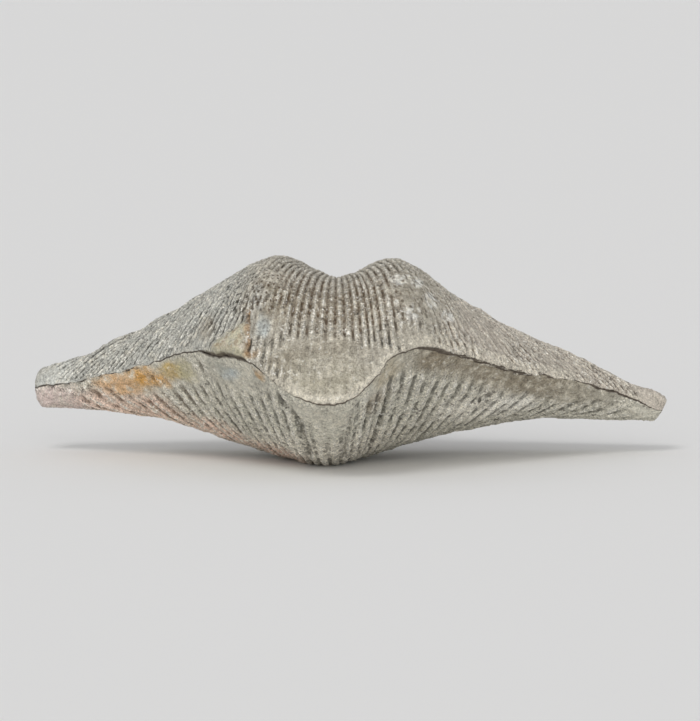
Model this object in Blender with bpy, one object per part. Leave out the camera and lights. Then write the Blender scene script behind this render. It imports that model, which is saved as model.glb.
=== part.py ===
"""Winged spiriferid brachiopod fossil, 65 mm wide: two solid valves that meet along one wavy edge.

Both valves grow by one rule. Straight lines run from a valve's beak to the points of its edge, and
the shell swells away from each line by that line's own profile. The ribs run along the lines. The
trough of the upper valve and the fold of the lower one come from the course of the edge.
"""

import math
from dataclasses import dataclass

import bmesh
import bpy
import numpy as np

MM = 0.001  # the sizes below are in millimetres

# The front edge from the left wing tip to the right one. Each row holds x, y and z, then how far the
# upper valve swells and how late it falls to the edge, then the same two for the lower valve.
FRONT_EDGE = (
    (-32.4, 13.4, 6.7, 1.7, 160.0, 2.1, 120.0),
    (-32.6, 12.0, 6.5, 1.9, 136.2, 1.9, 120.0),
    (-31.6, 10.8, 6.9, 2.2, 37.2, 2.0, 40.0),
    (-28.3, 8.6, 7.5, 4.4, 7.6, 2.8, 12.0),
    (-24.5, 5.8, 8.6, 6.0, 4.5, 4.3, 6.0),
    (-20.3, 1.7, 10.0, 7.3, 3.9, 6.1, 4.0),
    (-16.6, -3.2, 11.6, 8.1, 3.7, 7.3, 3.4),
    (-13.4, -8.0, 11.7, 9.0, 4.3, 7.7, 3.0),
    (-10.6, -11.0, 11.6, 9.3, 6.8, 7.7, 3.0),
    (-8.4, -12.8, 10.2, 9.3, 6.5, 7.4, 2.8),
    (-6.0, -14.2, 8.6, 9.5, 5.5, 6.8, 2.6),
    (-3.6, -14.9, 7.8, 9.3, 5.3, 6.4, 2.6),
    (-1.2, -15.0, 7.7, 9.2, 5.3, 6.2, 2.6),
    (1.2, -14.5, 9.0, 8.9, 5.4, 6.5, 2.6),
    (3.5, -13.1, 11.6, 8.1, 6.3, 7.4, 2.8),
    (6.3, -11.0, 12.7, 8.3, 6.9, 7.7, 3.0),
    (9.5, -8.0, 12.1, 8.5, 4.9, 7.1, 3.0),
    (13.5, -4.0, 10.8, 7.7, 3.7, 6.1, 3.4),
    (18.0, 0.5, 9.1, 6.5, 3.3, 4.8, 4.0),
    (22.6, 4.8, 8.0, 5.0, 3.8, 3.7, 6.0),
    (27.2, 8.0, 6.4, 3.6, 8.0, 2.2, 12.0),
    (31.3, 10.2, 4.6, 2.2, 29.8, 1.0, 40.0),
    (32.6, 11.6, 4.3, 1.6, 81.1, 1.0, 90.0),
    (32.6, 13.4, 4.7, 1.2, 87.6, 1.0, 90.0),
)
# The straight hinge edge at the back, from right to left, as x and how deep the edge is notched there.
HINGE_Y = 13.4
HINGE_ARCH = 1.9  # how far the middle of the hinge stands above the line between its ends
MIDDLE_X = -1.5
NOTCH = (3.4, 1.6, 0.8)  # half width at its rim and on its floor, and depth
HINGE_ENDS = (5.5, 26.0, -8.5, -28.0)
HINGE_SIDE_LINES = 4

CONTACT_CENTRE = (0.0, 3.0, 8.0)  # where the faces between the valves rise to
CONTACT_GAP = 0.3
RINGS = (0.04, 0.11, 0.19, 0.28, 0.38, 0.48, 0.58, 0.68, 0.77, 0.85, 0.92, 0.965, 0.99, 1.0)
SPARSE_RINGS = ((0.15, 4), (0.33, 2))  # inside these rings only every fourth or second line is kept

RIB_HEIGHT = 0.22  # crest above, and furrow below, the smooth shell
RIB_START, RIB_FULL = 0.18, 0.42
RIB_FADE, RIB_END = 0.88, 0.99
SMOOTH_WING = 3.0  # the ribs die out over this length at the wing tips

FRAME_SHIFT = (0.0, -0.85, 0.0)  # puts the middle of the finished shell's bounding box on the Z axis
REST_FACET_Z = 0.0


@dataclass
class Valve:
    """What sets one valve apart from the other."""

    name: str
    side: int  # +1 swells up, -1 swells down
    beak: tuple
    swell_column: int  # where FRONT_EDGE holds its swell; its fall follows
    rise: tuple  # powers that shape the swell near the beak
    taper: float  # power that shapes the swell near the edge
    umbo: float  # how far the hump at the beak bulges back over the hinge
    ribs: int  # each has a crest line and a furrow line
    crowding: float  # above 0, the ribs of the wings are finer than those of the middle
    hollow: float  # how deep the flat back face is hollowed
    lumps: tuple  # x, half width, ring, half width in rings, height
    colour: tuple


VENTRAL = Valve(
    name="ventral_valve",
    side=1,
    beak=(MIDDLE_X, 16.4, 11.4),
    swell_column=3,
    rise=(2.0, 0.45),
    taper=0.9,
    umbo=10.0,
    ribs=86,
    crowding=0.25,
    hollow=0.7,
    lumps=((-11.6, 2.4, 0.95, 0.06, 0.9), (-9.2, 1.2, 0.97, 0.05, 0.5), (11.0, 9.0, 0.97, 0.05, 0.5)),
    colour=(0.36, 0.33, 0.28, 1.0),
)
DORSAL = Valve(
    name="dorsal_valve",
    side=-1,
    beak=(MIDDLE_X, 14.8, 4.8),
    swell_column=5,
    rise=(2.6, 0.7),
    taper=1.0,
    umbo=4.0,
    ribs=60,
    crowding=0.0,
    hollow=0.3,
    lumps=(),
    colour=(0.42, 0.37, 0.29, 1.0),
)


@dataclass
class Lines:
    """The lines from the beak to the edge, all the way round the valve, one entry a line."""

    edge: np.ndarray
    swell: np.ndarray
    fall: np.ndarray
    hollow: np.ndarray
    rib: np.ndarray


def smoothstep(low, high, value):
    t = np.clip((value - low) / (high - low), 0.0, 1.0)
    return t * t * (3.0 - 2.0 * t)


def smooth_rows(rows, count, crowding):
    """Returns count rows on a smooth curve through the given rows, crowded towards its ends."""
    rows = np.array(rows)
    chords = np.linalg.norm(np.diff(rows[:, :3], axis=0), axis=1)
    knots = np.concatenate([[0.0], np.cumsum(np.sqrt(chords))])
    slopes = np.gradient(rows, knots, axis=0)
    at = np.linspace(0.0, knots[-1], 40 * len(rows))
    span = np.clip(np.searchsorted(knots, at, side="right") - 1, 0, len(knots) - 2)
    width = (knots[span + 1] - knots[span])[:, None]
    t = (at - knots[span])[:, None] / width
    curve = (
        (2 * t**3 - 3 * t**2 + 1) * rows[span]
        + (t**3 - 2 * t**2 + t) * width * slopes[span]
        + (3 * t**2 - 2 * t**3) * rows[span + 1]
        + (t**3 - t**2) * width * slopes[span + 1]
    )
    steps = np.linalg.norm(np.diff(curve[:, :3], axis=0), axis=1)
    length = np.concatenate([[0.0], np.cumsum(steps)])
    from_middle = 2.0 * length / length[-1] - 1.0
    spread = (from_middle + crowding * from_middle**3) / (1.0 + crowding)
    wanted = np.interp(np.linspace(-1.0, 1.0, count), spread, length)
    return np.stack([np.interp(wanted, length, column) for column in curve.T], axis=1)


def hinge_points(right_end, left_end):
    """Points along the hinge between the two wing tips, with the notch under the beaks."""
    rim, floor, depth = NOTCH
    near_right, far_right, near_left, far_left = HINGE_ENDS
    x = np.concatenate(
        [
            np.linspace(far_right, near_right, HINGE_SIDE_LINES),
            MIDDLE_X + np.array([rim, floor, -floor, -rim]),
            np.linspace(near_left, far_left, HINGE_SIDE_LINES),
        ]
    )
    y = np.full(len(x), HINGE_Y)
    y[np.abs(x - MIDDLE_X) < 0.5 * (rim + floor)] -= depth
    along = (x - right_end[0]) / (left_end[0] - right_end[0])
    z = right_end[2] + along * (left_end[2] - right_end[2])
    return np.stack([x, y, z + HINGE_ARCH * np.sin(math.pi * along)], axis=1)


def lines_of(valve):
    """The valve's lines: two for each rib along the front, then those of the hinge."""
    front = smooth_rows(FRONT_EDGE, 2 * valve.ribs, valve.crowding)
    hinge = hinge_points(front[-1, :3], front[0, :3])
    steps = np.linalg.norm(np.diff(front[:, :3], axis=0), axis=1)
    length = np.concatenate([[0.0], np.cumsum(steps)])
    from_tip = np.minimum(length, length[-1] - length)
    rib = np.where(np.arange(len(front)) % 2, 1.0, -1.0) * smoothstep(0.0, SMOOTH_WING, from_tip)
    flat = np.zeros(len(hinge))
    bend = np.sin(math.pi * np.linspace(0.0, 1.0, len(hinge) + 2)[1:-1])
    return Lines(
        edge=np.concatenate([front[:, :3], hinge]),
        swell=np.concatenate([front[:, valve.swell_column], flat]),
        fall=np.concatenate([front[:, valve.swell_column + 1], flat + 1.0]),
        hollow=np.concatenate([np.zeros(len(front)), valve.hollow * bend]),
        rib=np.concatenate([rib, flat]),
    )


def profile(valve, growth, fall):
    """The swell's course from the beak (growth 0) to the edge (growth 1), before it is scaled."""
    power, root = valve.rise
    return (1.0 - (1.0 - growth) ** power) ** root * (1.0 - growth**fall) ** valve.taper


def smooth_shell(valve, lines, growth):
    """The points of the smooth shell on one ring, that is at one stage of growth."""
    stages = np.linspace(0.0, 1.0, 200)
    highest = profile(valve, stages[None, :], lines.fall[:, None]).max(axis=1)
    swell = lines.swell * profile(valve, growth, lines.fall) / highest
    beak = np.array(valve.beak)
    points = beak + growth * (lines.edge - beak)
    points[:, 2] += valve.side * swell
    breadth = lines.swell / lines.swell.max()
    points[:, 1] += valve.umbo * breadth * math.sqrt(growth) * (1.0 - growth) ** 5
    points[:, 1] -= lines.hollow * 4.0 * growth * (1.0 - growth)
    return points


def outward(valve, lines, growth):
    """Unit vectors out of the smooth shell on one ring."""
    step = 0.01
    along_growth = smooth_shell(valve, lines, growth) - smooth_shell(valve, lines, growth - step)
    ring = smooth_shell(valve, lines, growth)
    along_ring = np.roll(ring, -1, axis=0) - np.roll(ring, 1, axis=0)
    normal = valve.side * np.cross(along_growth, along_ring)
    return normal / np.linalg.norm(normal, axis=1)[:, None]


def ring_points(valve, lines, growth):
    """The points of the ribbed and lumpy shell on one ring, in millimetres."""
    ribbed = smoothstep(RIB_START, RIB_FULL, growth) * (1.0 - smoothstep(RIB_FADE, RIB_END, growth))
    relief = RIB_HEIGHT * ribbed * lines.rib
    for x, half_width, ring, half_rings, height in valve.lumps:
        across = 1.0 - smoothstep(0.0, half_width, np.abs(lines.edge[:, 0] - x))
        along = 1.0 - smoothstep(0.0, half_rings, abs(growth - ring))
        relief = relief + height * across * along * (lines.swell > 0.0)
    relief = relief * (growth < 1.0)
    return smooth_shell(valve, lines, growth) + relief[:, None] * outward(valve, lines, growth)


def add_ring(mesh, points, every):
    return [mesh.verts.new(point) for point in points[::every]]


def join_rings(mesh, inner, outer):
    """Faces between two rings, of which the outer has as many points as the inner or twice as many."""
    count = len(inner)
    for i in range(count):
        after = (i + 1) % count
        if len(outer) == count:
            mesh.faces.new((inner[i], outer[i], outer[after], inner[after]))
        else:
            middle = outer[2 * i + 1]
            mesh.faces.new((inner[i], outer[2 * i], middle))
            mesh.faces.new((inner[i], middle, inner[after]))
            mesh.faces.new((inner[after], middle, outer[2 * after]))


def join_point(mesh, point, ring):
    tip = mesh.verts.new(point)
    for first, second in zip(ring, ring[1:] + ring[:1]):
        mesh.faces.new((tip, first, second))


def grind_rest_facet(mesh):
    """Cuts the worn facet that the shell lies on."""
    cut = bmesh.ops.bisect_plane(
        mesh,
        geom=mesh.verts[:] + mesh.edges[:] + mesh.faces[:],
        plane_co=(0.0, 0.0, REST_FACET_Z),
        plane_no=(0.0, 0.0, 1.0),
        clear_inner=True,
    )
    rim = [item for item in cut["geom_cut"] if isinstance(item, bmesh.types.BMEdge)]
    bmesh.ops.holes_fill(mesh, edges=rim)


def make_material(valve):
    material = bpy.data.materials.new(valve.name + "_stone")
    material.use_nodes = True
    shader = material.node_tree.nodes["Principled BSDF"]
    shader.inputs["Base Color"].default_value = valve.colour
    shader.inputs["Roughness"].default_value = 0.8
    shader.inputs["Metallic"].default_value = 0.0
    return material


def build_valve(valve):
    """Makes one valve as one closed mesh object."""
    lines = lines_of(valve)
    shift = np.array(FRAME_SHIFT) + (0.0, 0.0, 0.5 * CONTACT_GAP * valve.side)
    mesh = bmesh.new()
    rings = []
    for growth in RINGS:
        every = next((keep for limit, keep in SPARSE_RINGS if growth < limit), 1)
        rings.append(add_ring(mesh, ring_points(valve, lines, growth) + shift, every))
    for inner, outer in zip(rings, rings[1:]):
        join_rings(mesh, inner, outer)
    join_point(mesh, np.array(valve.beak) + shift, rings[0])
    join_point(mesh, np.array(CONTACT_CENTRE) + shift, rings[-1])
    bmesh.ops.triangulate(mesh, faces=mesh.faces[:])
    if valve is DORSAL:
        grind_rest_facet(mesh)
    bmesh.ops.scale(mesh, vec=(MM, MM, MM), verts=mesh.verts[:])
    bmesh.ops.triangulate(mesh, faces=mesh.faces[:])
    bmesh.ops.recalc_face_normals(mesh, faces=mesh.faces[:])
    data = bpy.data.meshes.new(valve.name)
    mesh.to_mesh(data)
    mesh.free()
    data.shade_smooth()
    data.set_sharp_from_angle(angle=math.radians(40))
    data.materials.append(make_material(valve))
    bpy.context.scene.collection.objects.link(bpy.data.objects.new(valve.name, data))


def main():
    for old in list(bpy.data.objects):
        bpy.data.objects.remove(old, do_unlink=True)
    for valve in (VENTRAL, DORSAL):
        build_valve(valve)


main()
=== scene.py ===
"""Looks of a winged brachiopod fossil: two weathered, ribbed stone valves on a pale floor.

Both valves are grown by one Geometry Nodes tree. It runs lines from a beak to the edge where the
valves meet, swells the shell away from them, and then raises ribs, growth lines, lumps and pits.
"""

import functools
import math

import bpy
import numpy as np
from bpy.props import FloatProperty, FloatVectorProperty, PointerProperty
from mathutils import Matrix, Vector


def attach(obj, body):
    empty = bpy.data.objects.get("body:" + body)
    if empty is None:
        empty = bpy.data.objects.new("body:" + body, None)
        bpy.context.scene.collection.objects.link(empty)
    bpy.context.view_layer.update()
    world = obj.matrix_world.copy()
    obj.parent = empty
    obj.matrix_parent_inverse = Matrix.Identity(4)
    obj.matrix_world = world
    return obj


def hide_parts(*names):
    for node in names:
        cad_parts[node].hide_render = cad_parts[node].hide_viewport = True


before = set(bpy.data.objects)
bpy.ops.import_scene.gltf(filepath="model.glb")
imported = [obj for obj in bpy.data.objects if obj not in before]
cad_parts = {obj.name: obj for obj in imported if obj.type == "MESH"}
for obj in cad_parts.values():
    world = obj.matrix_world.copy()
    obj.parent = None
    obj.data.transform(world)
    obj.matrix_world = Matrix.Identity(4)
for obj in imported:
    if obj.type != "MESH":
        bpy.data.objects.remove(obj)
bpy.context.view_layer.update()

bl_info = {
    "name": "Brachiopod Fossil",
    "version": (1, 0, 0),
    "blender": (4, 5, 0),
    "location": "3D View > Sidebar > Fossil",
    "description": "Builds the two valves of a winged brachiopod fossil and a plain stage for them",
    "category": "Add Mesh",
}

MM = 0.001  # the sizes below are in millimetres unless their names say otherwise

# The front edge from the left wing tip to the right one. Each row holds x, y and z, then how far the
# upper valve swells and how late it falls to the edge, then the same two for the lower valve. Both
# swells and the upper valve's fall come from a numerical fit to an outline. The rest is given.
FRONT_EDGE = (
    (-32.4, 13.4, 6.7, 1.7, 160.0, 2.1, 120.0),
    (-32.6, 12.0, 6.5, 1.9, 136.2, 1.9, 120.0),
    (-31.6, 10.8, 6.9, 2.2, 37.2, 2.0, 40.0),
    (-28.3, 8.6, 7.5, 4.4, 7.6, 2.8, 12.0),
    (-24.5, 5.8, 8.6, 6.0, 4.5, 4.3, 6.0),
    (-20.3, 1.7, 10.0, 7.3, 3.9, 6.1, 4.0),
    (-16.6, -3.2, 11.6, 8.1, 3.7, 7.3, 3.4),
    (-13.4, -8.0, 11.7, 9.0, 4.3, 7.7, 3.0),
    (-10.6, -11.0, 11.6, 9.3, 6.8, 7.7, 3.0),
    (-8.4, -12.8, 10.2, 9.3, 6.5, 7.4, 2.8),
    (-6.0, -14.2, 8.6, 9.5, 5.5, 6.8, 2.6),
    (-3.6, -14.9, 7.8, 9.3, 5.3, 6.4, 2.6),
    (-1.2, -15.0, 7.7, 9.2, 5.3, 6.2, 2.6),
    (1.2, -14.5, 9.0, 8.9, 5.4, 6.5, 2.6),
    (3.5, -13.1, 11.6, 8.1, 6.3, 7.4, 2.8),
    (6.3, -11.0, 12.7, 8.3, 6.9, 7.7, 3.0),
    (9.5, -8.0, 12.1, 8.5, 4.9, 7.1, 3.0),
    (13.5, -4.0, 10.8, 7.7, 3.7, 6.1, 3.4),
    (18.0, 0.5, 9.1, 6.5, 3.3, 4.8, 4.0),
    (22.6, 4.8, 8.0, 5.0, 3.8, 3.7, 6.0),
    (27.2, 8.0, 6.4, 3.6, 8.0, 2.2, 12.0),
    (31.3, 10.2, 4.6, 2.2, 29.8, 1.0, 40.0),
    (32.6, 11.6, 4.3, 1.6, 81.1, 1.0, 90.0),
    (32.6, 13.4, 4.7, 1.2, 87.6, 1.0, 90.0),
)
HINGE_Y = 13.4
HINGE_ARCH = 1.9  # how far its middle stands above the line between its ends
MIDDLE_X = -1.5
NOTCH = (3.4, 1.6, 0.8)  # half width at its rim and on its floor, and depth
CONTACT_CENTRE = (0.0, 3.0, 8.0)
FRAME_SHIFT = (0.0, -0.85, 0.0)
REST_FACET_Z = 0.0
UMBO_REACH = 5.0  # power with which the umbo's bulge dies away

HINGE_LINES = 60
RINGS = 188
OUTER_RINGS = 178  # the other rings close the valve along the face between the two

# beak: where the lines start. rise, taper: powers that shape the swell near the beak and the edge.
# umbo: how far the hump at the beak bulges back. crowding: how much finer the left and right ribs are.
# lean: how much ribs lean inwards. dash: length and share of the dark dashes in the furrows. bead:
# how strong the beads are. grime_and_shade: how strongly the furrows are darkened with dirt and painted
# shade. hollow: how deep the flat back face is hollowed.
VALVES = {
    "ventral": {
        "node": "ventral_valve",
        "slot": "upper_stone",
        "side": 1.0,
        "beak": (MIDDLE_X, 16.4, 11.4),
        "swell_column": 3,
        "rise": (2.0, 0.45),
        "taper": 0.9,
        "umbo": 10.0,
        "ribs": 108,
        "crowding": (0.25, 0.2),
        "lean": 0.45,
        "lines_per_rib": 4,
        "dash": (0.6, 0.6),
        "bead": 1.0,
        "grime_and_shade": 0.88,
        "hollow": 0.7,
    },
    "dorsal": {
        "node": "dorsal_valve",
        "slot": "lower_stone",
        "side": -1.0,
        "beak": (MIDDLE_X, 14.8, 4.8),
        "swell_column": 5,
        "rise": (2.6, 0.7),
        "taper": 1.0,
        "umbo": 4.0,
        "ribs": 52,
        "crowding": (0.0, 0.0),
        "lean": 0.0,
        "lines_per_rib": 8,
        "dash": (1.0, 0.68),
        "bead": 0.4,
        "grime_and_shade": 0.72,
        "hollow": 0.3,
    },
}

RING_PACKING = 1.3  # above 1, the rings crowd towards the beak and the edge
MERGE_DISTANCE = 0.0001
LEAN_LEFT = (-6.0, -20.0)  # across, where on the left the ribs start to lean inwards and where fully so
LEAN_RIGHT = (6.0, 16.0)
LEAN_FADE = 12.0  # distance from the edge at which a rib leans half as much

# Relief, in millimetres.
FURROW_POWER = 4.5  # the higher, the narrower the furrows between the ribs
PIT_SPACING = 0.5
PIT_DEPTH = 0.12
HINGE_LINE_PITCH = 9.0  # turns the distance from the hinge into the phase of its growth lines
HINGE_LINE_HEIGHT = 0.06
NOTCH_FILL_DEPTH = 0.3
TERRACE_LENGTH = 1.4
TERRACE_HEIGHT = 0.10
EDGE_GROOVE = 0.05
EDGE_WAVER = 1.0  # how far the line between the valves strays up and down, as a multiple of noise
RIM_HEIGHT = 0.1
LIP_HEIGHT = 0.3
RECESS_DEPTH = 0.42
CREASE_DEPTH = 0.40
CRACK_DEPTH = 0.2
LUMP_ROUGHNESS = 0.7

# Where the shell has features of its own: spots as (centre, radii, strength) and lines by their ends.
VENTRAL_WORN = (
    ((-2.4, -14.8, 9.4), (6.0, 4.0, 3.0), 0.85),  # tongue
    ((-3.0, -13.4, 12.2), (6.6, 3.6, 2.6), 0.8),  # above the tongue
    ((-9.0, -6.5, 19.0), (3.6, 5.0, 2.4), 0.65),  # left hump
    ((-8.2, -10.8, 15.4), (2.4, 3.4, 3.0), 0.75),  # right of the crack
    ((7.4, -7.5, 17.6), (4.8, 6.0, 3.8), 0.95),  # right hump
    ((13.5, -2.0, 14.2), (7.5, 6.0, 3.0), 0.65),  # right flank
    ((2.1, -13.5, 11.5), (3.5, 3.0, 2.4), 0.8),
    ((6.0, -11.0, 13.6), (3.4, 3.0, 1.6), 0.8),  # above the lip
    ((14.0, -3.0, 11.8), (5.0, 4.0, 1.3), 0.6),
    ((21.0, 4.0, 9.4), (6.5, 4.0, 1.5), 0.6),
    ((31.6, 9.5, 6.0), (3.4, 5.0, 2.6), 1.0),  # right wing tip
    ((-15.0, -5.5, 13.2), (2.6, 3.0, 1.2), 0.8),  # beside the lump
    ((-31.6, 10.0, 8.0), (2.6, 5.0, 2.0), 0.8),  # left wing tip
)
VENTRAL_PITTED = (
    ((-2.0, -9.0, 17.5), (6.5, 7.0, 3.4), 0.6),  # trough
    ((-10.0, -7.0, 17.8), (5.4, 6.0, 4.2), 1.4),
    ((6.4, -7.5, 17.8), (5.4, 6.0, 4.0), 0.9),
    ((-15.0, -4.5, 13.6), (2.0, 3.0, 1.2), 1.0),
)
LUMP_LEFT, LUMP_RIGHT = -14.3, -10.15  # across, where it starts and where the crack ends it
LUMP_FOOT, LUMP_TOP = 12.5, 15.3  # heights
LUMP_SLOPE = (0.68, -0.73)  # across and up, from its upper left side inwards
LUMP_FRONT = -4.0  # only in front of this
LUMP_HEIGHT = (0.35, 0.9)  # at its top and along its foot
IRON_CRACK = ((-10.15, -9.8, 16.2), (-10.15, -10.6, 15.1), (-10.1, -11.2, 13.9), (-10.2, -11.95, 12.1))
DORSAL_WORN = (
    ((-3.0, -13.8, 6.4), (4.4, 3.0, 2.4), 1.0),  # wedge under the tongue
    ((-2.6, -10.6, 4.6), (2.4, 3.4, 1.8), 0.75),  # fold
    ((-12.2, -8.5, 9.9), (6.0, 5.0, 2.8), 0.95),  # below the lump
    ((-17.5, -1.4, 9.4), (4.6, 4.6, 2.4), 0.85),
    ((-22.0, 4.0, 7.6), (4.6, 4.4, 1.8), 0.8),
    ((-8.9, -12.4, 9.2), (2.0, 2.0, 2.2), 0.9),
    ((24.3, 6.0, 6.6), (5.0, 4.0, 1.6), 1.0),  # right wing
    ((30.6, 9.5, 4.6), (3.6, 4.0, 1.8), 1.0),
    ((2.2, -13.3, 9.0), (2.0, 2.0, 2.4), 0.9),  # band along the tongue's right side
    ((4.8, -12.4, 11.2), (2.6, 2.4, 1.7), 1.0),
    ((8.0, -9.2, 11.4), (2.8, 3.0, 1.2), 0.85),
    ((-30.3, 9.9, 5.3), (3.2, 4.0, 1.6), 0.8),  # left wing tip
)
DORSAL_PITTED = (
    ((13.4, -1.0, 6.8), (1.5, 2.0, 1.0), 1.0),
    ((-2.0, -5.0, 2.0), (8.0, 6.0, 3.0), 0.6),
)
HOLE = ((13.0, -0.9, 6.6), (13.3, -0.8, 7.2))
HOLE_DEPTH = 0.45
FOLD_CREASES = (
    (((-7.2, -12.5, 8.0), (-6.2, -12.2, 6.8), (-5.1, -11.8, 5.5), (-4.1, -5.5, 1.6)), 0.36),
    (((-0.1, -12.8, 6.3), (-0.4, -10.0, 3.9), (-0.7, -4.5, 1.4)), 0.30),
    (((4.0, -10.3, 8.9), (3.2, -8.5, 6.7), (1.7, -3.3, 2.2)), 0.28),
    (((1.9, -12.3, 7.4), (1.2, -9.8, 5.0)), 0.22),
)
FRONT_SQUASH = (1.0, 0.15, 1.0)  # what a distance counts along each axis when a line is traced
# Bands beside the edge: where on it, half the length, distance from the edge and reach to either side.
TONGUE_RIM = (-0.3, 9.0, 0.3, 1.0)
LIP = (14.5, 10.5, 0.5, 1.2)
RECESS = (15.0, 12.2, 1.2, 3.0)
OVERHANG_END = (22.0, 14.5)  # across, where on the right the lip and the recess below it run out
SEAM_CHANGES = (  # where on the edge, half the length, and by what share the dark line widens there
    (16.5, 8.5, -0.9),
    (-6.9, 2.0, -0.9),
    (-24.5, 6.0, -0.92),
    (33.0, 3.0, -0.9),
    (27.0, 3.6, 0.5),
    # Widening under the sediment wedge: painted shadow below its overhanging foot.
    (-12.6, 2.8, 1.9),
)
TIP_CUT = ((0.855, 0.0, -0.518), 24.97)  # the flat chip off the right wing tip: its normal and distance

# Colours as 0 to 255 values, and spots: centre and radii, then strength and colour where given.
# Painted highlight laid along the rib crests.
CREST_HIGHLIGHT = (222, 218, 207)
FLECK_PALE = (236, 233, 224)
FLECK_DARK = (66, 57, 47)
# Dark joint line between the valves; widened under the sediment wedge, it is painted shadow there.
SEAM_AND_SHADOW_BROWN = (66, 52, 40)
SKY = (250, 251, 255)
# Grey for dirt, and for painted shade in the furrows, pits, creases and the hole.
NOTCH_FILL = (122, 108, 88)
GREY_DIRT_AND_SHADE = (66, 64, 56)
LUMP_CREAM = (206, 199, 170)
LUMP_BROWN = (146, 124, 94)
LIP_CREAM = (220, 212, 194)
IRON_STAIN = (160, 122, 78)
# Painted shadow on the lower valve below the right flank's overhanging lip.
RECESS_SHADOW_BROWN = (144, 131, 109)
BROWN_DIRT = ((-1.5, -8.0, 17.0), (11.0, 9.0, 6.0))
CHIP_WHITE = (236, 234, 226)
CHIPPED = ((7.0, -8.0, 17.4), (5.0, 6.0, 4.0))
PALE_CHIPS = (
    ((4.5, -7.6, 19.1), (1.2, 2.2, 0.7), 0.9),
    ((6.7, -6.4, 18.7), (1.2, 2.4, 0.7), 1.1),
    ((5.9, -10.4, 16.1), (1.2, 2.4, 1.0), 1.0),
    ((7.9, -6.8, 17.0), (1.1, 2.4, 1.1), 1.2),
    ((9.5, -6.0, 15.4), (1.0, 2.4, 0.9), 1.0),
)
VENTRAL_COLOURS = (
    ((-1.9, -9.0, 17.0), (7.6, 6.0, 4.2), 0.75, (146, 135, 116)),  # trough
    ((6.4, -7.6, 18.2), (4.6, 6.0, 3.2), 0.5, (150, 142, 125)),
    ((-6.5, -13.6, 11.6), (2.8, 3.2, 1.9), 0.9, (146, 137, 119)),
    ((8.6, -9.3, 13.4), (3.2, 3.2, 1.0), 0.7, (208, 201, 183)),  # rim over the right flank
    ((-2.4, -14.8, 9.8), (6.0, 4.0, 3.6), 0.8, (176, 169, 149)),  # tongue
    ((-3.0, -12.9, 12.8), (5.6, 3.4, 2.0), 0.6, (160, 151, 132)),
    ((-14.6, -5.2, 14.2), (2.4, 3.0, 1.6), 0.6, (142, 130, 110)),  # beside and above the wedge
    ((-9.2, -9.4, 17.2), (0.9, 3.0, 1.7), 0.95, (214, 220, 220)),  # bluish vein
    ((-8.6, -11.4, 15.0), (1.0, 2.5, 1.4), 0.8, (196, 202, 199)),
    ((-9.8, -12.1, 12.3), (0.9, 1.6, 0.8), 0.6, (184, 146, 100)),  # foot of the crack
    ((-7.6, -9.0, 16.9), (3.6, 4.6, 3.4), 0.8, (140, 130, 111)),
    ((-31.0, 10.0, 8.0), (5.0, 5.0, 2.8), 0.8, (208, 208, 200)),
    ((31.0, 9.5, 5.8), (3.0, 5.0, 2.0), 0.8, (204, 194, 180)),
)
# The pale spots low on the lower valve, from the fold's foot to the pinkish lower left, are partly its own
# tint and partly painted light that lifts the shade on its down-facing underside.
DORSAL_COLOURS = (
    ((-1.0, -5.0, 1.8), (14.0, 8.0, 3.6), 0.85, (252, 245, 230)),  # fold and its foot
    ((12.5, 0.5, 5.8), (9.5, 6.4, 2.8), 0.8, (246, 240, 226)),
    ((16.5, 2.6, 5.9), (4.2, 4.4, 1.7), 0.7, (253, 249, 238)),
    ((-30.0, 9.5, 5.2), (6.0, 5.0, 3.0), 0.9, (214, 194, 187)),  # pinkish left wing
    ((-25.0, 7.6, 5.2), (5.2, 4.5, 2.8), 0.9, (236, 208, 190)),
    ((-20.5, 6.0, 4.8), (6.2, 5.5, 3.2), 0.95, (238, 210, 190)),
    ((-14.0, 4.2, 2.7), (6.4, 6.0, 2.8), 0.95, (240, 212, 193)),
    ((-7.6, 0.6, 0.9), (6.8, 6.4, 2.5), 0.9, (238, 208, 188)),
    ((-24.0, 5.0, 7.5), (4.0, 4.4, 1.7), 0.9, (228, 184, 134)),  # ochre stain
    ((-20.6, 2.1, 8.5), (3.4, 4.8, 1.8), 0.95, (222, 166, 80)),
    ((-18.2, -0.8, 9.4), (2.0, 2.8, 1.5), 0.85, (196, 168, 100)),
    ((-16.6, -2.4, 9.6), (2.0, 2.8, 2.0), 0.8, (190, 182, 142)),
    ((-12.4, -8.4, 9.9), (2.2, 2.6, 1.2), 0.9, (186, 193, 192)),
    ((-13.2, -8.0, 10.8), (2.8, 3.2, 1.3), 0.7, (176, 175, 163)),
    # Painted shadow below the start of the right flank's lip.
    ((8.0, -8.9, 11.1), (2.8, 3.0, 1.4), 0.65, (142, 130, 110)),
    ((-8.9, -12.6, 9.9), (0.8, 1.4, 1.0), 0.9, (180, 144, 96)),
    ((3.4, -12.9, 10.4), (2.8, 2.6, 2.6), 0.8, (196, 184, 158)),
    ((2.6, -11.4, 7.3), (2.8, 3.0, 2.0), 0.6, (146, 128, 106)),  # brown creases right of the fold
    ((25.2, 6.6, 6.2), (5.0, 4.0, 1.8), 0.8, (172, 166, 151)),
)

# The camera looks along +Y, tilted down a little, from as far as a long lens needs.
CAMERA_TARGET = (-0.2, -0.85, 10.5)
CAMERA_DISTANCE = 420.0
CAMERA_TILT_DEG = 5.2
PICTURE_HEIGHT = 72.1  # what the picture's long side spans at the target
SENSOR = 36.0

FLOOR_HALF_WIDTH = 40000.0  # so wide that its far edge stays out of view
SUN_PLACE = (52.0, 24.0, 22.0)  # height, left and width, in degrees
FRONT_PLACE = (5.0, 4.0, 70.0)


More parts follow.
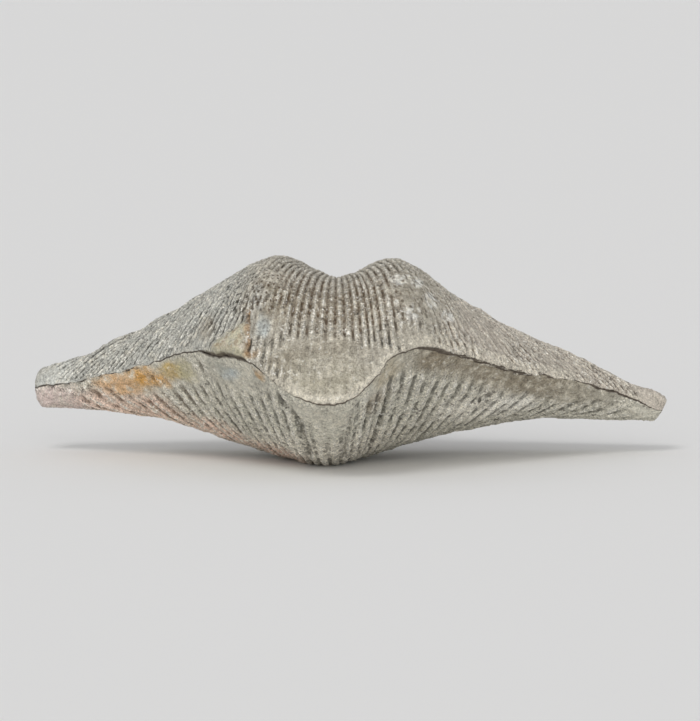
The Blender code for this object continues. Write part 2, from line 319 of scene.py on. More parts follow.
def srgb(red, green, blue):
    """A colour of 0 to 255 values as linear light, with full alpha."""
    def linear(value):
        value = value / 255.0
        return value / 12.92 if value <= 0.04045 else ((value + 0.055) / 1.055) ** 2.4
    return (linear(red), linear(green), linear(blue), 1.0)


def opaque(colour):
    """A colour from the settings, with full alpha."""
    return tuple(colour) + (1.0,)


# -------- node writing


class Field:
    """A value in a node tree. Arithmetic on it adds Math or Vector Math nodes."""

    def __init__(self, writer, socket):
        self.writer = writer
        self.socket = socket
        self.is_vector = socket.type in {"VECTOR", "RGBA"}

    def _combine(self, operation, first, second):
        vector = any(isinstance(value, Field) and value.is_vector for value in (first, second))
        if vector or isinstance(first, tuple) or isinstance(second, tuple):
            return self.writer.vector_math(operation, first, second)
        return self.writer.math(operation, first, second)

    def __add__(self, other):
        return self._combine("ADD", self, other)

    def __radd__(self, other):
        return self._combine("ADD", other, self)

    def __sub__(self, other):
        return self._combine("SUBTRACT", self, other)

    def __rsub__(self, other):
        return self._combine("SUBTRACT", other, self)

    def __mul__(self, other):
        if self.is_vector and not isinstance(other, tuple) and not getattr(other, "is_vector", False):
            return self.writer.scaled(self, other)
        return self._combine("MULTIPLY", self, other)

    def __rmul__(self, other):
        return self.__mul__(other)

    def __truediv__(self, other):
        return self._combine("DIVIDE", self, other)

    def __pow__(self, other):
        return self.writer.math("POWER", self, other)


class Writer:
    """Adds nodes to a tree, so that a formula reads as a formula."""

    def __init__(self, tree):
        self.tree = tree

    def node(self, kind, feeds=(), **settings):
        made = self.tree.nodes.new(kind)
        for name, value in settings.items():
            setattr(made, name, value)
        for name, value in dict(feeds).items():
            self.feed(self.open(made.inputs, name), value)
        return made

    def open(self, sockets, name):
        """The usable socket of that name or number."""
        if isinstance(name, int):
            return sockets[name]
        return next(socket for socket in sockets if socket.name == name and socket.enabled)

    def feed(self, socket, value):
        if isinstance(value, Field):
            self.tree.links.new(value.socket, socket)
        else:
            socket.default_value = value

    def out(self, node, name):
        return Field(self, self.open(node.outputs, name))

    def math(self, operation, *values, clamp=False):
        node = self.node("ShaderNodeMath", enumerate(values), operation=operation, use_clamp=clamp)
        return self.out(node, "Value")

    def vector_math(self, operation, *values):
        feeds = enumerate(self.as_vector(value) for value in values)
        node = self.node("ShaderNodeVectorMath", feeds, operation=operation)
        return self.out(node, "Value" if operation in {"LENGTH", "DISTANCE", "DOT_PRODUCT"} else "Vector")

    def as_vector(self, value):
        if isinstance(value, (int, float)):
            return (value, value, value)
        return value

    def scaled(self, vector, factor):
        node = self.node("ShaderNodeVectorMath", {0: vector, "Scale": factor}, operation="SCALE")
        return self.out(node, "Vector")

    def parts(self, vector):
        node = self.node("ShaderNodeSeparateXYZ", {0: vector})
        return [self.out(node, axis) for axis in "XYZ"]

    def vector(self, x, y, z):
        return self.out(self.node("ShaderNodeCombineXYZ", {"X": x, "Y": y, "Z": z}), "Vector")

    def step(self, low, high, value):
        """Rises smoothly from 0 at low to 1 at high; falls where low is above high."""
        feeds = {"Value": value, "From Min": low, "From Max": high}
        return self.out(self.node("ShaderNodeMapRange", feeds, interpolation_type="SMOOTHSTEP"), "Result")

    def noise(self, place, size, detail=2.0, roughness=0.5):
        """Soft noise around 0, about -0.5 to 0.5, whose largest features have that size."""
        feeds = {"Vector": place, "Scale": 1.0 / size, "Detail": detail, "Roughness": roughness}
        return self.out(self.node("ShaderNodeTexNoise", feeds), "Fac") - 0.5

    def open_typed(self, sockets, name, kind):
        return next(socket for socket in sockets if socket.name == name and socket.type == kind)

    def wander(self, place, size, reach):
        """The place, pushed about by noise of that size by up to about half the reach."""
        node = self.node("ShaderNodeTexNoise", {"Vector": place, "Scale": 1.0 / size, "Detail": 2.0})
        return place + (self.out(node, "Color") - (0.5, 0.5, 0.5)) * reach

    def cells(self, place, size, randomness=1.0, dimensions="3D"):
        """Distance to the nearest of scattered points, in cell sizes, and the cell's random value."""
        feeds = {"Vector": place, "Scale": 1.0 / size, "Randomness": randomness}
        node = self.node("ShaderNodeTexVoronoi", feeds, voronoi_dimensions=dimensions)
        return self.out(node, "Distance"), self.parts(self.out(node, "Color"))[0]

    def spot(self, place, centre, radii, inner=0.55):
        """1 inside an ellipsoid, falling to 0 at its surface."""
        away = self.vector_math("LENGTH", (place - tuple(centre)) / tuple(radii))
        return self.step(1.0, inner, away)

    def among(self, operation, values):
        """The least or the greatest of several values."""
        return functools.reduce(lambda one, other: self.math(operation, one, other), values)

    def segment_distance(self, place, start, end):
        """How far the place is from the straight piece between two points."""
        run = Vector(end) - Vector(start)
        along = self.vector_math("DOT_PRODUCT", place - tuple(start), tuple(run / run.length_squared))
        nearest = self.scaled(tuple(run), self.math("ADD", along, 0.0, clamp=True))
        return self.vector_math("LENGTH", place - tuple(start) - nearest)

    def line_distance(self, place, points):
        """How far the place is from a line through the points, mostly as seen from the front."""
        place = place * FRONT_SQUASH
        points = [Vector(point) * Vector(FRONT_SQUASH) for point in points]
        pieces = [self.segment_distance(place, *ends) for ends in zip(points, points[1:])]
        return self.among("MINIMUM", pieces)

    def spots(self, place, spots):
        """The strongest of several (centre, radii, strength) spots."""
        shares = [self.spot(place, centre, radii) * strength for centre, radii, strength in spots]
        return self.among("MAXIMUM", shares)


# -------- the line of the edge


def smooth_rows(rows, count, crowding):
    """Returns count rows on a smooth curve through the given rows, crowded towards either end."""
    rows = np.array(rows)
    chords = np.linalg.norm(np.diff(rows[:, :3], axis=0), axis=1)
    knots = np.concatenate([[0.0], np.cumsum(np.sqrt(chords))])
    slopes = np.gradient(rows, knots, axis=0)
    at = np.linspace(0.0, knots[-1], 40 * len(rows))
    span = np.clip(np.searchsorted(knots, at, side="right") - 1, 0, len(knots) - 2)
    width = (knots[span + 1] - knots[span])[:, None]
    t = (at - knots[span])[:, None] / width
    curve = (
        (2 * t**3 - 3 * t**2 + 1) * rows[span]
        + (t**3 - 2 * t**2 + t) * width * slopes[span]
        + (3 * t**2 - 2 * t**3) * rows[span + 1]
        + (t**3 - t**2) * width * slopes[span + 1]
    )
    steps = np.linalg.norm(np.diff(curve[:, :3], axis=0), axis=1)
    length = np.concatenate([[0.0], np.cumsum(steps)])
    from_middle = 2.0 * length / length[-1] - 1.0
    spread = from_middle + np.where(from_middle < 0.0, *crowding) * from_middle**3
    wanted = np.interp(np.linspace(spread[0], spread[-1], count), spread, length)
    return np.stack([np.interp(wanted, length, column) for column in curve.T], axis=1)


def hinge_points(right_end, left_end, count):
    """Points along the hinge between the two wing tips, with the notch under the beaks."""
    rim, floor, depth = NOTCH
    x = np.linspace(right_end[0], left_end[0], count + 2)[1:-1]
    in_notch = np.clip((rim - np.abs(x - MIDDLE_X)) / (rim - floor), 0.0, 1.0)
    along = (x - right_end[0]) / (left_end[0] - right_end[0])
    z = right_end[2] + along * (left_end[2] - right_end[2]) + HINGE_ARCH * np.sin(math.pi * along)
    return np.stack([x, HINGE_Y - depth * in_notch, z], axis=1)


def swell_profile(valve, growth, fall):
    """The swell's course from the beak (growth 0) to the edge (growth 1), before it is scaled."""
    power, root = valve["rise"]
    return (1.0 - (1.0 - growth) ** power) ** root * (1.0 - growth**fall) ** valve["taper"]


def edge_lines(valve):
    """The edge's points and what each line from the beak carries, as arrays by attribute name."""
    front = smooth_rows(FRONT_EDGE, valve["lines_per_rib"] * valve["ribs"] + 1, valve["crowding"])
    hinge = hinge_points(front[-1, :3], front[0, :3], HINGE_LINES)
    swell = front[:, valve["swell_column"]]
    fall = front[:, valve["swell_column"] + 1]
    stages = np.linspace(0.0, 1.0, 200)
    highest = swell_profile(valve, stages[None, :], fall[:, None]).max(axis=1)
    flat = np.zeros(len(hinge))
    bend = np.sin(math.pi * np.linspace(0.0, 1.0, len(hinge) + 2)[1:-1])
    rib = np.arange(len(front)) / valve["lines_per_rib"] + 0.5
    lines = {
        "swell": np.concatenate([swell / highest, flat]),
        "breadth": np.concatenate([swell / swell.max(), flat]),
        "fall": np.concatenate([fall, flat + 1.0]),
        "hollow": np.concatenate([np.zeros(len(front)), valve["hollow"] * bend]),
        "rib": np.concatenate([rib, np.where(hinge[:, 0] > MIDDLE_X, rib[-1], rib[0])]),
        "ribbed": np.concatenate([np.ones(len(front)), flat]),
        "edge_x": np.concatenate([front[:, 0], hinge[:, 0]]),
    }
    points = np.concatenate([front[:, :3], hinge])
    closed = np.append(np.arange(len(points)), 0)
    return points[closed], {name: values[closed] for name, values in lines.items()}


def edge_object(name, valve):
    """An object that holds the edge as loose points with the lines' attributes, in millimetres."""
    points, lines = edge_lines(valve)
    mesh = bpy.data.meshes.new(name)
    mesh.from_pydata(points.tolist(), [], [])
    for attribute, values in lines.items():
        layer = mesh.attributes.new(attribute, "FLOAT", "POINT")
        layer.data.foreach_set("value", values.astype(np.float32))
    edge = bpy.data.objects.new(name, mesh)
    bpy.context.scene.collection.objects.link(edge)
    return edge


# -------- growing a valve


GROW_INPUTS = (
    ("Edge", "NodeSocketGeometry"),
    ("Columns", "NodeSocketInt"),
    ("Rings", "NodeSocketInt"),
    ("Outer share", "NodeSocketFloat"),
    ("Beak", "NodeSocketVector"),
    ("Contact centre", "NodeSocketVector"),
    ("Side", "NodeSocketFloat"),
    ("Rise power", "NodeSocketFloat"),
    ("Rise root", "NodeSocketFloat"),
    ("Taper", "NodeSocketFloat"),
    ("Umbo", "NodeSocketFloat"),
    ("Seam", "NodeSocketFloat"),
    ("Rib height", "NodeSocketFloat"),
    ("Rib lean", "NodeSocketFloat"),
    ("Dash length", "NodeSocketFloat"),
    ("Dash share", "NodeSocketFloat"),
    ("Bead length", "NodeSocketFloat"),
    ("Bead height", "NodeSocketFloat"),
    ("Weathering", "NodeSocketFloat"),
    ("Material", "NodeSocketMaterial"),
)
SAMPLED = ("swell", "breadth", "fall", "hollow", "rib", "ribbed", "edge_x")
KEPT = ("ribbed", "edge_x")


def named(writer, name, kind="FLOAT"):
    node = writer.node("GeometryNodeInputNamedAttribute", {"Name": name}, data_type=kind)
    return writer.out(node, "Attribute")


def stored(writer, geometry, name, value):
    feeds = {"Geometry": geometry, "Name": name, "Value": value}
    node = writer.node("GeometryNodeStoreNamedAttribute", feeds, data_type="FLOAT", domain="POINT")
    return writer.out(node, "Geometry")


def sampled(writer, edge, value, index, kind="FLOAT"):
    feeds = {"Geometry": edge, "Value": value, "Index": index}
    return writer.out(writer.node("GeometryNodeSampleIndex", feeds, data_type=kind), "Value")


def moved(writer, geometry, **feeds):
    feeds["Geometry"] = geometry
    return writer.out(writer.node("GeometryNodeSetPosition", feeds), "Geometry")


def position(writer):
    return writer.out(writer.node("GeometryNodeInputPosition"), "Position")


def smooth_shell(w, given):
    """The smooth closed valve, with what each point's line carries stored on it."""
    grid = w.node(
        "GeometryNodeMeshGrid",
        {"Size X": 1.0, "Size Y": 1.0, "Vertices X": given["Columns"], "Vertices Y": given["Rings"]},
    )
    across, up, _ = w.parts(position(w) + (0.5, 0.5, 0.0))
    index = w.math("ROUND", across * (given["Columns"] - 1.0)) + 0.1
    line = {name: sampled(w, given["Edge"], named(w, name), index) for name in SAMPLED}
    edge = sampled(w, given["Edge"], position(w), index, "FLOAT_VECTOR")
    waver = w.noise(edge, 2.0, 3.0) * line["ribbed"] * EDGE_WAVER
    edge = edge + w.vector(0.0, 0.0, waver)

    ring = w.math("MINIMUM", up / given["Outer share"], 1.0)
    growth = 1.0 - (1.0 - ring**RING_PACKING) ** RING_PACKING
    inward = w.math("MAXIMUM", (up - given["Outer share"]) / (1.0 - given["Outer share"]), 0.0)
    left = 1.0 - growth
    rise = (1.0 - left ** given["Rise power"]) ** given["Rise root"]
    swell = line["swell"] * rise * (1.0 - growth ** line["fall"]) ** given["Taper"]
    bulge = given["Umbo"] * line["breadth"] * w.math("SQRT", growth) * left**UMBO_REACH
    hollow = line["hollow"] * 4.0 * growth * left
    reach = edge - given["Beak"]
    shell = given["Beak"] + reach * growth + w.vector(0.0, bulge - hollow, swell * given["Side"])
    closed = shell + (given["Contact centre"] - shell) * inward
    seam = w.vector(0.0, 0.0, given["Side"] * given["Seam"] * 0.5)

    mesh = w.out(grid, "Mesh")
    for name in KEPT:
        mesh = stored(w, mesh, name, line[name])
    length = w.vector_math("LENGTH", reach)
    mesh = stored(w, mesh, "from_beak", length * growth)
    to_edge = w.vector_math("LENGTH", shell - edge)
    mesh = stored(w, mesh, "to_edge", to_edge)
    lean = w.step(*LEAN_RIGHT, line["edge_x"]) - w.step(*LEAN_LEFT, line["edge_x"])
    lean = lean * given["Rib lean"] * to_edge / (1.0 + to_edge / LEAN_FADE)
    mesh = stored(w, mesh, "rib", line["rib"] + lean)
    mesh = stored(w, mesh, "outside", w.math("LESS_THAN", inward, 0.001))
    mesh = moved(w, mesh, Position=closed + FRAME_SHIFT + seam)
    merge = w.node("GeometryNodeMergeByDistance", {"Geometry": mesh, "Distance": MERGE_DISTANCE})
    flip = w.node(
        "GeometryNodeFlipFaces",
        {"Mesh": w.out(merge, "Geometry"), "Selection": w.math("GREATER_THAN", given["Side"], 0.0)},
    )
    return w.out(flip, "Mesh")


def grow_tree(valve_name, add_relief):
    """The node group that grows one valve from its edge and gives it its own relief."""
    tree = bpy.data.node_groups.new("grow_" + valve_name, "GeometryNodeTree")
    for name, kind in GROW_INPUTS:
        tree.interface.new_socket(name=name, in_out="INPUT", socket_type=kind)
    tree.interface.new_socket(name="Valve", in_out="OUTPUT", socket_type="NodeSocketGeometry")
    w = Writer(tree)
    inputs = w.node("NodeGroupInput")
    given = {name: w.out(inputs, name) for name, _ in GROW_INPUTS}
    mesh = smooth_shell(w, given)

    relief, marks = add_relief(w, given)
    relief = relief * named(w, "outside")
    for name, value in {**marks, "relief": relief}.items():
        mesh = stored(w, mesh, name, value)
    normal = w.out(w.node("GeometryNodeInputNormal"), "Normal")
    mesh = moved(w, mesh, Offset=normal * named(w, "relief"))
    chip_normal, chip_distance = TIP_CUT
    past_chip = w.vector_math("DOT_PRODUCT", position(w), chip_normal) - chip_distance
    mesh = moved(w, mesh, Offset=w.scaled(chip_normal, w.math("MAXIMUM", past_chip, 0.0) * -1.0))
    x, y, z = w.parts(position(w))
    mesh = moved(w, mesh, Position=w.vector(x, y, w.math("MAXIMUM", z, REST_FACET_Z)) * MM)
    smooth = w.node("GeometryNodeSetShadeSmooth", {"Geometry": mesh})
    real = w.node("GeometryNodeRealizeInstances", {"Geometry": w.out(smooth, "Geometry")})
    dressed = w.node(
        "GeometryNodeSetMaterial",
        {"Geometry": w.out(real, "Geometry"), "Material": given["Material"]},
    )
    output = w.node("NodeGroupOutput")
    w.feed(output.inputs["Valve"], w.out(dressed, "Geometry"))
    return tree


# -------- relief of the two valves


def rib_lines(w, place, rib, from_beak, dash_length, dash_share):
    """Across and along the ribs, how deep in a furrow, and how much of a dark dash fills it."""
    across = rib + w.noise(place, 1.4, 3.0) * 0.3
    grown = from_beak + w.noise(place, 1.1, 3.0) * 0.5
    furrow = w.math("ABSOLUTE", w.math("COSINE", across * math.pi))
    in_furrow = w.vector(w.math("ROUND", across) * 7.3, grown / dash_length, 0.0)
    dash = w.step(-0.09, 0.05, w.noise(in_furrow, 1.0, 1.0))
    return across, grown, furrow, dash * dash_share + (1.0 - dash_share)


def shell_relief(w, given, worn, pitted, fade):
    """Ribs, beads, growth steps and weathering that both valves share; returns relief and marks.

    worn is how far the ribs are rubbed away, pitted how strongly the shell is pitted, and fade how
    near the edge, in millimetres, the ribs end.
    """
    place = position(w)
    from_beak, to_edge = named(w, "from_beak"), named(w, "to_edge")
    broad = w.noise(place, 3.5, 2.0)
    middle = w.noise(place, 1.1, 3.0)
    fine = w.noise(place, 0.42, 3.0, 0.7)

    present = named(w, "ribbed") * w.step(0.6, 2.5, from_beak)
    present = present * w.step(fade * 0.2, fade, to_edge + middle * 1.6)
    present = present * (1.0 - worn) * w.step(-0.42, -0.12, w.noise(place, 2.2, 3.0))
    across, grown, furrow, dash = rib_lines(
        w, place, named(w, "rib"), from_beak, given["Dash length"], given["Dash share"]
    )
    furrow = furrow**FURROW_POWER * dash
    depth = 0.8 + w.noise(place, 0.9, 2.0) * 1.4
    ribs = given["Rib height"] * (0.25 - furrow) * present * depth

    bead_far, bead_chance = w.cells(w.vector(across, grown / given["Bead length"], 0.0), 1.0, 0.75, "2D")
    bead = w.step(0.7, 0.15, bead_far) * (0.35 + bead_chance * 0.9)
    beads = given["Bead height"] * (bead - 0.4) * (0.35 + present * 0.65) * named(w, "ribbed")

    pit_far, pit_chance = w.cells(w.vector(across * 1.7, grown / PIT_SPACING, 0.0), 1.0, 1.0, "2D")
    pits = w.step(0.45, 0.2, pit_far) * w.step(0.4, 0.65, pit_chance + pitted * 0.3 - 0.1)
    pits = pits * (0.35 + 0.65 * pitted) * (0.15 + 0.85 * present * furrow)

    terrace = w.math("FRACT", (to_edge + broad * 2.0) / TERRACE_LENGTH)
    terrace = terrace * terrace * w.step(4.5, 1.0, to_edge) * TERRACE_HEIGHT
    rough = (broad * 0.30 + middle * 0.24 + fine * 0.34) * given["Weathering"]
    relief = ribs + beads + rough + terrace - pits * PIT_DEPTH
    along_edge = named(w, "edge_x")
    seam = 1.0
    for centre, half_width, change in SEAM_CHANGES:
        near = w.step(half_width, half_width * 0.6, w.math("ABSOLUTE", along_edge - centre))
        seam = near * change + seam
    hinge = 1.0 - named(w, "ribbed")
    hinge_lines = w.math("SINE", (to_edge + middle * 0.4) * HINGE_LINE_PITCH)
    relief = relief + hinge_lines * hinge * HINGE_LINE_HEIGHT
    from_notch = w.math("ABSOLUTE", along_edge - MIDDLE_X)
    notch = w.step(NOTCH[0], NOTCH[1], from_notch) * hinge
    relief = relief - notch * w.step(0.0, 0.9, to_edge) * NOTCH_FILL_DEPTH
    relief = relief - w.step(0.25, 0.0, to_edge) * seam * EDGE_GROOVE
    marks = {
        "present": present,
        "pitted": pitted,
        "bead": bead * named(w, "ribbed"),
        "seam": seam * named(w, "ribbed") * named(w, "outside"),
        "grit": 1.0 - worn * 0.75,
        "notch": notch,
    }
    return relief, marks


def bank(w, centre, half_length, distance, reach):
    """1 on a band of shell beside the edge, around that x and that far from the edge."""
    across = w.step(half_length, half_length * 0.5, w.math("ABSOLUTE", named(w, "edge_x") - centre))
    along = w.step(reach, reach * 0.3, w.math("ABSOLUTE", named(w, "to_edge") - distance))
    return across * along * named(w, "ribbed")


def overhang(w):
    """1 where the right flank stands out over the lower valve, and 0 towards the wing tip."""
    return w.step(*OVERHANG_END, named(w, "edge_x"))


def lump_mask(w, place):
    """1 on the wedge of sediment above the left bend of the edge, with a steep right side."""
    x, y, z = w.parts(place)
    slope_x, slope_z = LUMP_SLOPE
    from_side = (x - LUMP_LEFT) * slope_x + (z - LUMP_FOOT) * slope_z
    mask = w.step(0.0, 1.2, from_side) * w.step(0.0, 0.25, LUMP_RIGHT - x)
    return mask * w.step(0.0, 0.5, LUMP_TOP - z) * w.step(0.0, 1.0, LUMP_FRONT - y)


def ventral_relief(w, given):
    """The upper valve: worn tongue and wing tips, sediment wedge and the lip over the right flank."""
    place = w.wander(position(w), 2.0, 1.6)
    worn = w.math("MINIMUM", w.spots(place, VENTRAL_WORN), 1.0)
    lump = lump_mask(w, w.wander(position(w), 1.4, 1.3))
    worn = w.math("MAXIMUM", worn, lump)
    relief, marks = shell_relief(w, given, worn, w.spots(place, VENTRAL_PITTED), 0.9)
    top, foot = LUMP_HEIGHT
    height = top + (foot - top) * w.step(LUMP_TOP, LUMP_FOOT, w.parts(position(w))[2])
    crack = w.step(0.22, 0.06, w.line_distance(w.wander(position(w), 0.8, 0.3), IRON_CRACK))
    lump_height = height + w.noise(position(w), 1.0, 2.0) * LUMP_ROUGHNESS
    lump_relief = lump * lump_height * w.step(-0.2, 0.9, named(w, "to_edge"))
    lip, rim = bank(w, *LIP), bank(w, *TONGUE_RIM)
    relief = relief + lump_relief + lip * overhang(w) * LIP_HEIGHT + rim * RIM_HEIGHT - crack * CRACK_DEPTH
    return relief, {**marks, "lump": lump, "crack": crack, "lip": w.math("MAXIMUM", lip, rim)}


def dorsal_relief(w, given):
    """The lower valve: smooth wedge under the tongue, creases beside the fold, worn right wing."""
    place = w.wander(position(w), 2.0, 1.6)
    worn = w.math("MINIMUM", w.spots(place, DORSAL_WORN), 1.0)
    recess = bank(w, *RECESS)
    worn = w.math("MAXIMUM", worn, recess * 0.8)
    relief, marks = shell_relief(w, given, worn, w.spots(place, DORSAL_PITTED), 2.0)
    loose = w.wander(position(w), 1.2, 0.6)
    creases = [w.step(width, width * 0.3, w.line_distance(loose, points)) for points, width in FOLD_CREASES]
    crease = w.among("MAXIMUM", creases)
    relief = relief - crease * CREASE_DEPTH - recess * overhang(w) * RECESS_DEPTH
    hole = w.step(0.55, 0.2, w.segment_distance(position(w), *HOLE))
    relief = relief - hole * HOLE_DEPTH
    return relief, {**marks, "recess": recess, "crease": w.math("MAXIMUM", crease, hole)}


# -------- stone


def attribute(w, name):
    return w.out(w.node("ShaderNodeAttribute", attribute_name=name, attribute_type="GEOMETRY"), "Fac")


def tinted(w, base, colour, amount):
    """The base colour moved towards another by an amount."""
    node = w.node("ShaderNodeMix", {"Factor": amount}, data_type="RGBA", clamp_factor=True)
    w.feed(w.open_typed(node.inputs, "A", "RGBA"), base)
    w.feed(w.open_typed(node.inputs, "B", "RGBA"), colour)
    return Field(w, w.open_typed(node.outputs, "Result", "RGBA"))


def stone_material(name, paint, valve, settings):
    """Weathered stone: the valve's own coloured regions under mottling and flecks, furrows and pits
    darkened with dirt and painted shade, and painted highlights along the rib crests and on the beads.
    """
    material = bpy.data.materials.new(name)
    material.use_nodes = True
    w = Writer(material.node_tree)
    shader = material.node_tree.nodes["Principled BSDF"]
    place = w.scaled(w.out(w.node("ShaderNodeTexCoord"), "Object"), 1.0 / MM)
    colour, dirt_and_shade = paint(w, place, settings)
    cream = opaque(settings.cream_colour)

    broad = w.noise(place, 2.6, 4.0, 0.6)
    middle = w.noise(place, 0.9, 4.0, 0.7)
    fine = w.noise(place, 0.36, 3.0, 0.7)
    tiny = w.noise(place, 0.16, 1.0)
    grit = attribute(w, "grit")
    colour = tinted(w, colour, dirt_and_shade, w.step(0.02, 0.30, broad) * 0.30)
    colour = tinted(w, colour, cream, w.step(0.0, -0.25, broad) * 0.45)
    colour = tinted(w, colour, dirt_and_shade, w.step(0.06, 0.22, middle) * 0.35)

    rib, from_beak = attribute(w, "rib"), attribute(w, "from_beak")
    across, grown, furrow, filled = rib_lines(w, place, rib, from_beak, *valve["dash"])
    present = attribute(w, "present")
    # The dark dashes in the furrows: dirt and painted shade.
    dark = w.step(0.77, 0.95, furrow) * filled * present * w.step(-0.35, 0.0, broad * 0.5 + middle)
    # Painted highlight: the raised beads are lightened with the cream colour.
    bead = attribute(w, "bead") * (1.0 - dark) * w.step(-0.15, 0.2, middle)
    colour = tinted(w, colour, cream, bead * 0.8)
    # Painted highlight along the rib crests below; rubbed only breaks it into pieces with noise.
    rubbed = w.step(-0.12, 0.12, w.noise(place, 0.3, 2.0) + middle * 0.4)
    crest = w.step(0.5, 0.2, furrow) * present * rubbed
    colour = tinted(w, colour, srgb(*CREST_HIGHLIGHT), crest * 0.9)
    pit_far, pit_chance = w.cells(w.vector(across * 0.7, grown, 0.0), PIT_SPACING, 1.0, "2D")
    colour = tinted(w, colour, srgb(*NOTCH_FILL), attribute(w, "notch") * 0.7)
    pitted = attribute(w, "pitted")
    blotch = w.noise(place, 1.2, 5.0, 0.75)
    colour = tinted(w, colour, cream, w.step(-0.04, -0.12, blotch) * pitted * 0.6)
    colour = tinted(w, colour, dirt_and_shade, w.step(0.05, 0.14, blotch) * pitted * 0.6)
    pits = w.step(0.34, 0.16, pit_far + middle * 0.3) * w.step(0.6, 0.65, pit_chance + pitted * 0.2)
    pits = pits * (0.2 + pitted * 0.5) * attribute(w, "ribbed")
    # Furrow dashes and pits take the dark colour: dirt and painted shade in the hollows.
    colour = tinted(w, colour, dirt_and_shade, w.math("MAXIMUM", dark * valve["grime_and_shade"], pits))

    fleck = w.noise(place, 0.42, 1.5) + w.noise(place, 0.17, 1.0) * 0.5 + middle * 0.5
    colour = tinted(w, colour, srgb(*FLECK_PALE), w.step(0.13, 0.26, fleck) * (0.2 + grit * 0.5))
    colour = tinted(w, colour, srgb(*FLECK_DARK), w.step(-0.15, -0.27, fleck) * (0.2 + grit * 0.55))
    # The dark joint line; widened under the sediment wedge, it is painted shadow below its overhang.
    seam_width = w.math("MAXIMUM", attribute(w, "seam") * (1.0 + broad * 2.5), 0.02)
    seam = w.step(0.12, 0.04, (attribute(w, "to_edge") + middle * 0.12) / seam_width)
    colour = tinted(w, colour, srgb(*SEAM_AND_SHADOW_BROWN), seam * 0.85)
    crisp = (w.step(-0.09, 0.09, fine) - 0.5) * 0.30
    shade = 1.0 + broad * 0.6 + middle * 0.9 + crisp * (0.6 + grit * 0.5) + tiny * (0.7 + grit * 1.1)
    w.feed(shader.inputs["Base Color"], w.scaled(colour, shade))

    w.feed(shader.inputs["Roughness"], 0.78 + middle * 0.2)
    shader.inputs["Specular IOR Level"].default_value = 0.35
    grain = w.node(
        "ShaderNodeBump",
        {"Strength": 0.9, "Distance": 0.18 * MM, "Height": fine + w.noise(place, 0.13, 2.0) * 0.8},
    )
    w.feed(shader.inputs["Normal"], w.out(grain, "Normal"))
    return material


def spotted(w, colour, place, spots):
    """The colour with coloured spots over it, one after another."""
    for centre, radii, strength, tint in spots:
        colour = tinted(w, colour, srgb(*tint), w.spot(place, centre, radii, 0.3) * strength)
    return colour


def region(w, place, low, high):
    """Rises from 0 to 1 where x runs from low to high."""
    return w.step(low, high, w.parts(place)[0])


def ventral_paint(w, place, settings):
    """Colour and dark colour for dirt and painted shade: grey left flank, beige right flank, brown
    trough, cream tongue.
    """
    loose = w.wander(place, 2.6, 3.0)
    stone, cool = opaque(settings.stone_colour), opaque(settings.cool_colour)
    colour = tinted(w, stone, cool, region(w, loose, -8.0, -13.0))
    colour = tinted(w, colour, opaque(settings.warm_colour), region(w, loose, 7.0, 13.0))
    colour = spotted(w, colour, loose, VENTRAL_COLOURS)
    patchy = w.step(-0.25, 0.05, w.noise(place, 0.7, 3.0, 0.7))
    lump = attribute(w, "lump")
    colour = tinted(w, colour, srgb(*LUMP_CREAM), lump * patchy * 0.9)
    mottled = w.step(0.0, 0.12, w.noise(place, 0.9, 3.0))
    colour = tinted(w, colour, srgb(*LUMP_BROWN), lump * mottled * 0.8)
    colour = tinted(w, colour, srgb(*LIP_CREAM), attribute(w, "lip") * patchy * 0.85)
    colour = tinted(w, colour, srgb(*IRON_STAIN), attribute(w, "crack") * 0.85)
    chips = w.spots(w.wander(place, 0.9, 0.8), PALE_CHIPS) * w.step(-0.1, 0.04, w.noise(place, 0.5))
    scattered = w.spot(loose, *CHIPPED) * w.step(0.10, 0.18, w.noise(place, 0.9, 2.0))
    colour = tinted(w, colour, srgb(*CHIP_WHITE), w.math("MAXIMUM", chips, scattered) * 0.85)
    brown = w.math("MAXIMUM", w.spot(loose, *BROWN_DIRT), region(w, loose, 5.0, 10.0) * 0.75)
    return colour, tinted(w, srgb(*GREY_DIRT_AND_SHADE), opaque(settings.furrow_colour), brown)


def dorsal_paint(w, place, settings):
    """Colour and dark colour for dirt and painted shade: grey-green, pinkish along the lower left, an
    ochre stain under the left edge, painted shadow below the right flank's lip, painted shade in the
    creases, and pale spots low down that are partly painted light.
    """
    loose = w.wander(place, 2.0, 2.4)
    colour = spotted(w, opaque(settings.lower_colour), loose, DORSAL_COLOURS)
    # Painted shadow below the right flank's overhanging lip.
    colour = tinted(w, colour, srgb(*RECESS_SHADOW_BROWN), attribute(w, "recess") * 0.8)
    dirt_and_shade = tinted(w, srgb(*GREY_DIRT_AND_SHADE), opaque(settings.furrow_colour), region(w, loose, -12.0, -20.0))
    # The creases and the hole are darkened: painted shade in them.
    return tinted(w, colour, srgb(*GREY_DIRT_AND_SHADE), attribute(w, "crease") * 0.65), dirt_and_shade


# -------- the add-on


